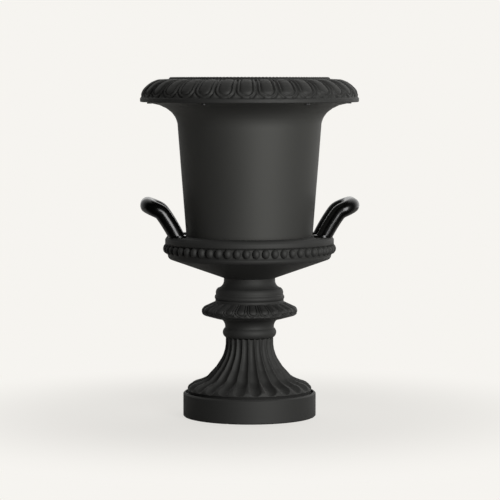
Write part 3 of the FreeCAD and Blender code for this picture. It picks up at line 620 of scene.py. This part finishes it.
class URN_OT_bell(bpy.types.Operator):
    """Bell: the tall flaring wall of the urn"""

    bl_idname = "urn.bell"
    bl_label = "Bell"

    BROAD_UNEVEN = 0.25
    FINE_UNEVEN = 0.08

    def execute(self, context):
        piece = turned("bell_body", "bell_casting", bearing=31.0, steps=288, step=0.008)
        spots, facing = points_of(piece), normals_of(piece)
        broad = noise(spots, 11, (0.16, 0.09)) * self.BROAD_UNEVEN * MM
        fine = noise(spots, 12, (0.045,)) * self.FINE_UNEVEN * MM
        put_points(piece, spots + facing * (broad + fine)[:, None])
        finished(piece, "bell_body", "brushed_iron")
        return {"FINISHED"}


class URN_OT_rim(bpy.types.Operator):
    """Rim: an ovolo with 32 eggs, and a rope ring round the mouth"""

    bl_idname = "urn.rim"
    bl_label = "Rim lip"

    EGGS = 32
    COLUMNS = 24  # across an egg
    DART = 1.5  # bearing of one of the solid's darts, in degrees
    OFF_CORNER = 0.01  # turns the cut off the solid's own corners
    FRONT_DART = FRONT + 1.5
    ROPE_MIDDLE = (174.5 * MM, RIM_Z + 49.2 * MM)
    ROPE_RADIUS = 6 * MM
    ROPE_SKIN = 0.4 * MM
    ROPE_LAY = 4.4  # how far a strand runs on round the mouth as it crosses the ring
    ROPE_SHARPNESS = 1.3
    ROPE_FADE = 1.5 * MM

    def execute(self, context):
        sizes = context.scene.urn_sizes
        piece = turned(
            "rim_lip", "rim_casting", bearing=self.DART + 180 / self.EGGS + self.OFF_CORNER,
            steps=self.EGGS * self.COLUMNS, step=0.0024, coarse=0.016, low=RIM_Z + 0.009, high=RIM_Z + 0.06,
            least_reach=0.168,
        )
        egg_and_dart(
            piece, low=RIM_Z + 0.0095, high=RIM_Z + 0.0512, least_reach=0.1925, count=self.EGGS,
            dart=self.FRONT_DART, relief=sizes.rim_relief,
        )
        self.lay_rope(piece, sizes)
        finished(piece, "rim_lip", "aged_iron")
        return {"FINISHED"}

    def lay_rope(self, piece, sizes):
        """Twists strands into the round ring."""
        spots, facing = points_of(piece), normals_of(piece)
        reach, bearing = cylindrical(spots)
        out, up = reach - self.ROPE_MIDDLE[0], spots[:, 2] - self.ROPE_MIDDLE[1]
        ring = (np.abs(np.hypot(out, up) - self.ROPE_RADIUS) < self.ROPE_SKIN) & (up > 0)
        turn = sizes.rope_strands * bearing + self.ROPE_LAY * np.arctan2(up, out)
        groove = (1 - np.abs(np.sin(turn / 2))) ** self.ROPE_SHARPNESS * np.clip(up / self.ROPE_FADE, 0, 1)
        spots[ring] -= facing[ring] * (groove * sizes.rope_relief)[ring, None]
        put_points(piece, spots)


def repaint(nodes, material):
    """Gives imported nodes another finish."""
    for node in nodes:
        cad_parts[node].data.materials.clear()
        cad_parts[node].data.materials.append(material)


class URN_OT_handles(bpy.types.Operator):
    """Handles: two cast bails on the bowl's flange"""

    bl_idname = "urn.handles"
    bl_label = "Handles"

    def execute(self, context):
        repaint(("handle_right", "handle_left"), iron_material("handle_iron"))
        return {"FINISHED"}


class URN_OT_hardware(bpy.types.Operator):
    """Tie rod, clamps, bolts and screws"""

    bl_idname = "urn.hardware"
    bl_label = "Hardware"

    ZINC_NODES = (
        "handle_bolts", "handle_washers", "bottom_washer", "bottom_nut", "top_plate_washer", "top_nut",
        "tie_rod",
    )
    BLACK_NODES = ("clamp_bar", "rim_screws")

    def execute(self, context):
        repaint(self.ZINC_NODES, zinc_material("zinc_steel"))
        repaint(self.BLACK_NODES, iron_material("black_bar"))
        return {"FINISHED"}


# --- finishes ---

class Nodes:
    """Short way to lay out a node tree."""

    def __init__(self, tree):
        self.tree = tree
        self.count = 0

    def add(self, kind, settings=None, **inputs):
        """Adds a node. An input named for a socket, or in0, in1 by number, takes a value or another socket."""
        node = self.tree.nodes.new(kind)
        node.location = (self.count % 8 * 220, -(self.count // 8) * 320)
        self.count += 1
        for name, setting in (settings or {}).items():
            setattr(node, name, setting)
        for name, source in inputs.items():
            by_number = name[:2] == "in" and name[2:].isdigit()
            socket = node.inputs[int(name[2:]) if by_number else name]
            if isinstance(source, bpy.types.NodeSocket):
                self.tree.links.new(source, socket)
            else:
                socket.default_value = source
        return node

    def math(self, operation, a, b=0.0):
        """Result of arithmetic on two values."""
        return self.add("ShaderNodeMath", {"operation": operation}, in0=a, in1=b).outputs[0]

    def times(self, a, b):
        """Product of two values."""
        return self.math("MULTIPLY", a, b)

    def span(self, source, low, high, out_low=0.0, out_high=1.0):
        """Source between two values, spread smoothly over two others."""
        return self.add(
            "ShaderNodeMapRange", {"interpolation_type": "SMOOTHSTEP"}, in0=source, in1=low, in2=high,
            in3=out_low, in4=out_high,
        ).outputs[0]

    def mix(self, share, a, b):
        """Colour mixed from two."""
        return self.add("ShaderNodeMix", {"data_type": "RGBA"}, in0=share, in6=a, in7=b).outputs[2]

    def noise(self, vector, scale, detail, rough):
        """Noise texture's value."""
        return self.add(
            "ShaderNodeTexNoise", Vector=vector, Scale=scale, Detail=detail, Roughness=rough,
        ).outputs[0]


def new_group(name, inputs, outputs):
    """Empty node group with float inputs (name: default) and outputs, its tree's nodes, input and output."""
    tree = bpy.data.node_groups.new(name, "ShaderNodeTree")
    for label, default in inputs.items():
        socket = tree.interface.new_socket(label, in_out="INPUT", socket_type="NodeSocketFloat")
        socket.default_value = default
    for label in outputs:
        tree.interface.new_socket(label, in_out="OUTPUT", socket_type="NodeSocketFloat")
    nodes = Nodes(tree)
    return tree, nodes, nodes.add("NodeGroupInput"), nodes.add("NodeGroupOutput")


def wear_group():
    """Worn edges, and hollows darkened as painted shade, from the attribute that mark_edges stores."""
    if "edge_wear" in bpy.data.node_groups:
        return bpy.data.node_groups["edge_wear"]
    tree, n, given, result = new_group(
        "edge_wear", {"Start": 0.56, "End": 0.85, "Patchiness": 0.6, "Scale": 60.0}, ("Worn", "Hollow"),
    )
    start, end, patchiness, scale = (given.outputs[name] for name in ("Start", "End", "Patchiness", "Scale"))
    proud = n.add("ShaderNodeAttribute", {"attribute_name": "proud"}).outputs["Fac"]
    where = n.add("ShaderNodeTexCoord").outputs["Object"]
    patches = n.span(n.noise(where, scale, 5, 0.55), 0.32, 0.62)
    share = n.math("ADD", n.math("SUBTRACT", 1.0, patchiness), n.times(patches, patchiness))
    ramp = n.add("ShaderNodeMapRange", in0=proud, in1=start, in2=end).outputs[0]
    tree.links.new(n.times(ramp, share), result.inputs["Worn"])
    # the hollow mask: it darkens the colour in hollows as painted shade, and makes them rougher
    tree.links.new(n.span(proud, 0.46, 0.25), result.inputs["Hollow"])
    return tree


def brush_group():
    """Upright streaks and fine scratches of a brushed casting."""
    if "brushed_streaks" in bpy.data.node_groups:
        return bpy.data.node_groups["brushed_streaks"]
    tree, n, given, result = new_group(
        "brushed_streaks", {"Scale": 1.0, "Stretch": 0.05}, ("Streak", "Scratch", "Height"),
    )
    scale = given.outputs["Scale"]
    where = n.add("ShaderNodeTexCoord").outputs["Object"]
    squash = n.add("ShaderNodeCombineXYZ", in0=scale, in1=scale, in2=n.times(scale, given.outputs["Stretch"]))
    squashed = n.add("ShaderNodeVectorMath", {"operation": "MULTIPLY"}, in0=where, in1=squash.outputs[0])
    tall = squashed.outputs[0]
    broad = n.noise(tall, 28.0, 3, 0.6)
    fine = n.noise(tall, 170.0, 4, 0.65)
    hair = n.noise(tall, 620.0, 2, 0.5)
    streak = n.math("ADD", n.times(broad, 0.55), n.times(fine, 0.45))
    tree.links.new(n.span(streak, 0.36, 0.64), result.inputs["Streak"])
    tree.links.new(n.span(hair, 0.66, 0.76), result.inputs["Scratch"])
    tree.links.new(n.math("ADD", n.times(fine, 0.5), n.times(hair, 0.10)), result.inputs["Height"])
    return tree


def skin_group():
    """Cast skin: soft hills, fine pits and cloudy patches."""
    if "cast_skin" in bpy.data.node_groups:
        return bpy.data.node_groups["cast_skin"]
    tree, n, given, result = new_group("cast_skin", {"Scale": 1.0}, ("Cloud", "Speck", "Height"))
    where = n.add("ShaderNodeTexCoord").outputs["Object"]
    scaled = n.add("ShaderNodeVectorMath", {"operation": "SCALE"}, in0=where, Scale=given.outputs["Scale"])
    place = scaled.outputs[0]
    cloud = n.noise(place, 16.0, 5, 0.6)
    hills = n.noise(place, 110.0, 3, 0.5)
    grit = n.noise(place, 520.0, 3, 0.6)
    specks = n.noise(place, 260.0, 2, 0.5)
    tree.links.new(n.span(cloud, 0.35, 0.65), result.inputs["Cloud"])
    tree.links.new(n.span(specks, 0.64, 0.72), result.inputs["Speck"])
    tree.links.new(n.math("ADD", n.times(hills, 0.85), n.times(grit, 0.10)), result.inputs["Height"])
    return tree


def iron_material(name):
    """Blackened iron, brushed on the bell, unless the frame already holds a finish of this name."""
    # The frame holds aged_iron, brushed_iron and black_bar, so only handle_iron is made here, and the brushing
    # and the wear below don't run.
    if name in bpy.data.materials:
        return bpy.data.materials[name]
    finish = bpy.context.scene.urn_finish
    brushed = name == "brushed_iron"
    gloss, clouds, bump_height = finish.iron_gloss, 0.25, 0.0003
    if brushed:
        gloss, clouds, bump_height = finish.bell_gloss, 0.35, 0.00012
    material = bpy.data.materials.new(name)
    material.use_nodes = True
    tree = material.node_tree
    n = Nodes(tree)
    surface = tree.nodes["Principled BSDF"]
    skin = n.add("ShaderNodeGroup", {"node_tree": skin_group()}, Scale=1.0).outputs
    iron, worn, dust = ((*colour, 1.0) for colour in (finish.iron, finish.worn, finish.dust))
    colour = n.mix(n.times(skin["Cloud"], clouds), iron, dust)
    rough = n.math("ADD", gloss - 0.06, n.times(skin["Cloud"], 0.12))
    height = skin["Height"]
    if brushed:
        brush = n.add("ShaderNodeGroup", {"node_tree": brush_group()}, Scale=1.0, Stretch=0.06).outputs
        colour = n.mix(n.times(brush["Streak"], 0.07), colour, worn)
        colour = n.mix(n.times(brush["Scratch"], 0.18), colour, worn)
        rough = n.math("ADD", rough, n.times(brush["Streak"], 0.05))
        height = n.math("ADD", n.times(height, 0.4), n.times(brush["Height"], 0.6))
    if name in ("aged_iron", "brushed_iron"):
        wear = n.add("ShaderNodeGroup", {"node_tree": wear_group()}).outputs
        colour = n.mix(n.times(wear["Worn"], 0.75), colour, worn)
        # painted shade: hollows mixed towards near black
        colour = n.mix(n.times(wear["Hollow"], 0.55), colour, (0.001, 0.001, 0.0009, 1.0))
        rough = n.math("SUBTRACT", rough, n.times(wear["Worn"], 0.10))
        rough = n.math("ADD", rough, n.times(wear["Hollow"], 0.06))
    colour = n.mix(n.times(skin["Speck"], 0.12), colour, worn)
    bump = n.add("ShaderNodeBump", Strength=0.55, Distance=bump_height, Height=height)
    tree.links.new(colour, surface.inputs["Base Color"])
    tree.links.new(rough, surface.inputs["Roughness"])
    tree.links.new(bump.outputs[0], surface.inputs["Normal"])
    surface.inputs["IOR"].default_value = 1.62
    return material


def zinc_material(name):
    """Dull zinc plate."""
    zinc = bpy.context.scene.urn_finish.zinc
    material = bpy.data.materials.new(name)
    material.use_nodes = True
    tree = material.node_tree
    n = Nodes(tree)
    surface = tree.nodes["Principled BSDF"]
    cloud = n.add("ShaderNodeGroup", {"node_tree": skin_group()}, Scale=2.0).outputs["Cloud"]
    colour = n.mix(n.times(cloud, 0.5), (*zinc, 1.0), (0.22, 0.21, 0.20, 1.0))
    tree.links.new(colour, surface.inputs["Base Color"])
    tree.links.new(n.math("ADD", 0.32, n.times(cloud, 0.2)), surface.inputs["Roughness"])
    surface.inputs["Metallic"].default_value = 1.0
    return material


# --- studio ---

class URN_OT_studio(bpy.types.Operator):
    """Floor, pale surroundings, key light and camera"""

    bl_idname = "urn.studio"
    bl_label = "Studio"

    FLOOR_RADIUS = 3.0
    ROOM = (1.0, 0.995, 0.985)  # tint of the surroundings
    KEY_BEARING = FRONT - 2.3 + 26
    KEY_HEIGHT = 0.85
    KEY_DISTANCE = 2.6
    KEY_SIZE = (1.35, 1.66)
    KEY_AIM = Vector((0, 0, 0.42))
    SENSOR = 36
    IMAGE = 500  # pixels across the photograph
    SHIFT = 0.5  # pixels by which the urn stands left of the middle

    def execute(self, context):
        studio = context.scene.urn_studio
        self.floor(studio)
        self.world(studio)
        self.light(studio)
        self.camera(studio)
        context.scene.view_settings.view_transform = "Standard"
        return {"FINISHED"}

    def floor(self, studio):
        """Paper floor that takes a shadow near the urn; towards the camera its colour, as the urn mirrors it, is
        painted dark as painted shade.
        """
        select_only(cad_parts["plinth"])
        bpy.ops.mesh.primitive_circle_add(
            vertices=96, radius=self.FLOOR_RADIUS, fill_type="NGON", location=(0, 0, 0),
        )
        floor = bpy.context.object
        floor.name = "studio_floor"
        material = bpy.data.materials.new("paper_floor")
        material.use_nodes = True
        tree = material.node_tree
        n = Nodes(tree)
        surface = tree.nodes["Principled BSDF"]
        surface.inputs["Roughness"].default_value = 0.9
        surface.inputs["Specular IOR Level"].default_value = 0.0
        paper = (*studio.paper, 1.0)
        where = n.add("ShaderNodeTexCoord").outputs["Object"]
        seen = n.add("ShaderNodeLightPath").outputs["Is Camera Ray"]
        away = n.add("ShaderNodeVectorMath", {"operation": "LENGTH"}, in0=where).outputs["Value"]
        plain = n.times(n.span(away, 0.3, 0.9, 0.72, 1.0), seen)
        depth = n.add("ShaderNodeSeparateXYZ", in0=where).outputs[1]
        # painted shade: for all but camera rays the floor fades to near black towards the camera, so the urn
        # mirrors a dark floor in front
        shaded_mirror_colour = n.mix(n.span(depth, -0.3, 0.4, 0.03, 1.0), (0.0, 0.0, 0.0, 1.0), paper)
        tree.links.new(n.mix(seen, shaded_mirror_colour, paper), surface.inputs["Base Color"])
        glow = n.add("ShaderNodeEmission", Color=paper, Strength=1.0)
        blend = n.add("ShaderNodeMixShader", in0=plain, in1=surface.outputs[0], in2=glow.outputs[0])
        tree.links.new(blend.outputs[0], tree.nodes["Material Output"].inputs["Surface"])
        floor.data.materials.append(material)

    def world(self, studio):
        """Paper to the camera. What the urn mirrors is dark behind the camera and brightest on the right."""
        world = bpy.data.worlds.new("pale_room")
        bpy.context.scene.world = world
        world.use_nodes = True
        tree = world.node_tree
        n = Nodes(tree)
        way = n.add("ShaderNodeSeparateXYZ", in0=n.add("ShaderNodeTexCoord").outputs["Generated"]).outputs
        behind = n.span(way[1], -0.15, 0.70, 0.012, 1.0)
        side = n.span(way[0], -0.9, 0.9, 0.45, 1.45)
        level = n.times(n.times(behind, side), studio.ambient)
        room = n.add("ShaderNodeVectorMath", {"operation": "SCALE"}, in0=self.ROOM, Scale=level).outputs[0]
        seen = n.add("ShaderNodeLightPath").outputs["Is Camera Ray"]
        colour = n.mix(seen, room, (*studio.paper, 1.0))
        tree.links.new(colour, tree.nodes["Background"].inputs["Color"])

    def light(self, studio):
        """Tall soft light in front, to the right of the camera."""
        light = bpy.data.lights.new("key_light", "AREA")
        light.shape = "RECTANGLE"
        light.size, light.size_y = self.KEY_SIZE
        light.energy = studio.key_power
        lamp = bpy.data.objects.new("key_light", light)
        angle = math.radians(self.KEY_BEARING)
        lamp.location = (
            self.KEY_DISTANCE * math.cos(angle), self.KEY_DISTANCE * math.sin(angle), self.KEY_HEIGHT,
        )
        lamp.rotation_euler = (self.KEY_AIM - lamp.location).to_track_quat("-Z", "Y").to_euler()
        bpy.context.scene.collection.objects.link(lamp)

    def camera(self, studio):
        """Camera of the photograph: a long lens, a little above the urn's middle and to its left."""
        data = bpy.data.cameras.new("photo_camera")
        data.lens = studio.lens
        data.sensor_width = self.SENSOR
        data.clip_end = 50
        data.shift_x = self.SHIFT / self.IMAGE
        camera = bpy.data.objects.new("photo_camera", data)
        flat = studio.distance * math.cos(studio.pitch)
        camera.location = (
            -flat * math.sin(studio.swing), -flat * math.cos(studio.swing),
            studio.aim + studio.distance * math.sin(studio.pitch),
        )
        camera.rotation_euler = (
            Matrix.Rotation(-studio.swing, 3, "Z") @ Matrix.Rotation(math.pi / 2 - studio.pitch, 3, "X")
            @ Matrix.Rotation(-studio.roll, 3, "Z")
        ).to_euler()
        bpy.context.scene.collection.objects.link(camera)
        bpy.context.scene.camera = camera


class URN_PT_panel(bpy.types.Panel):
    """Lists the urn's sizes, finishes and pieces"""

    bl_idname = "URN_PT_panel"
    bl_label = "Urn planter"
    bl_space_type = "VIEW_3D"
    bl_region_type = "UI"
    bl_category = "Urn"

    def draw(self, context):
        for group in (context.scene.urn_sizes, context.scene.urn_finish, context.scene.urn_studio):
            box = self.layout.box()
            for name in group.__annotations__:
                box.prop(group, name)
        for operator in OPERATORS:
            self.layout.operator(operator.bl_idname)


OPERATORS = (
    URN_OT_plinth, URN_OT_foot, URN_OT_collar, URN_OT_neck, URN_OT_bowl, URN_OT_bell, URN_OT_rim,
    URN_OT_handles, URN_OT_hardware, URN_OT_studio,
)
GROUPS = {"urn_sizes": UrnSizes, "urn_finish": UrnFinish, "urn_studio": UrnStudio}


def register():
    for item in (*GROUPS.values(), *OPERATORS, URN_PT_panel):
        bpy.utils.register_class(item)
    for name, group in GROUPS.items():
        setattr(bpy.types.Scene, name, PointerProperty(type=group))


def unregister():
    for name in GROUPS:
        delattr(bpy.types.Scene, name)
    for item in reversed((*GROUPS.values(), *OPERATORS, URN_PT_panel)):
        bpy.utils.unregister_class(item)


def main():
    register()
    for operator in OPERATORS:
        family, name = operator.bl_idname.split(".")
        getattr(getattr(bpy.ops, family), name)()


if __name__ == "__main__":
    main()
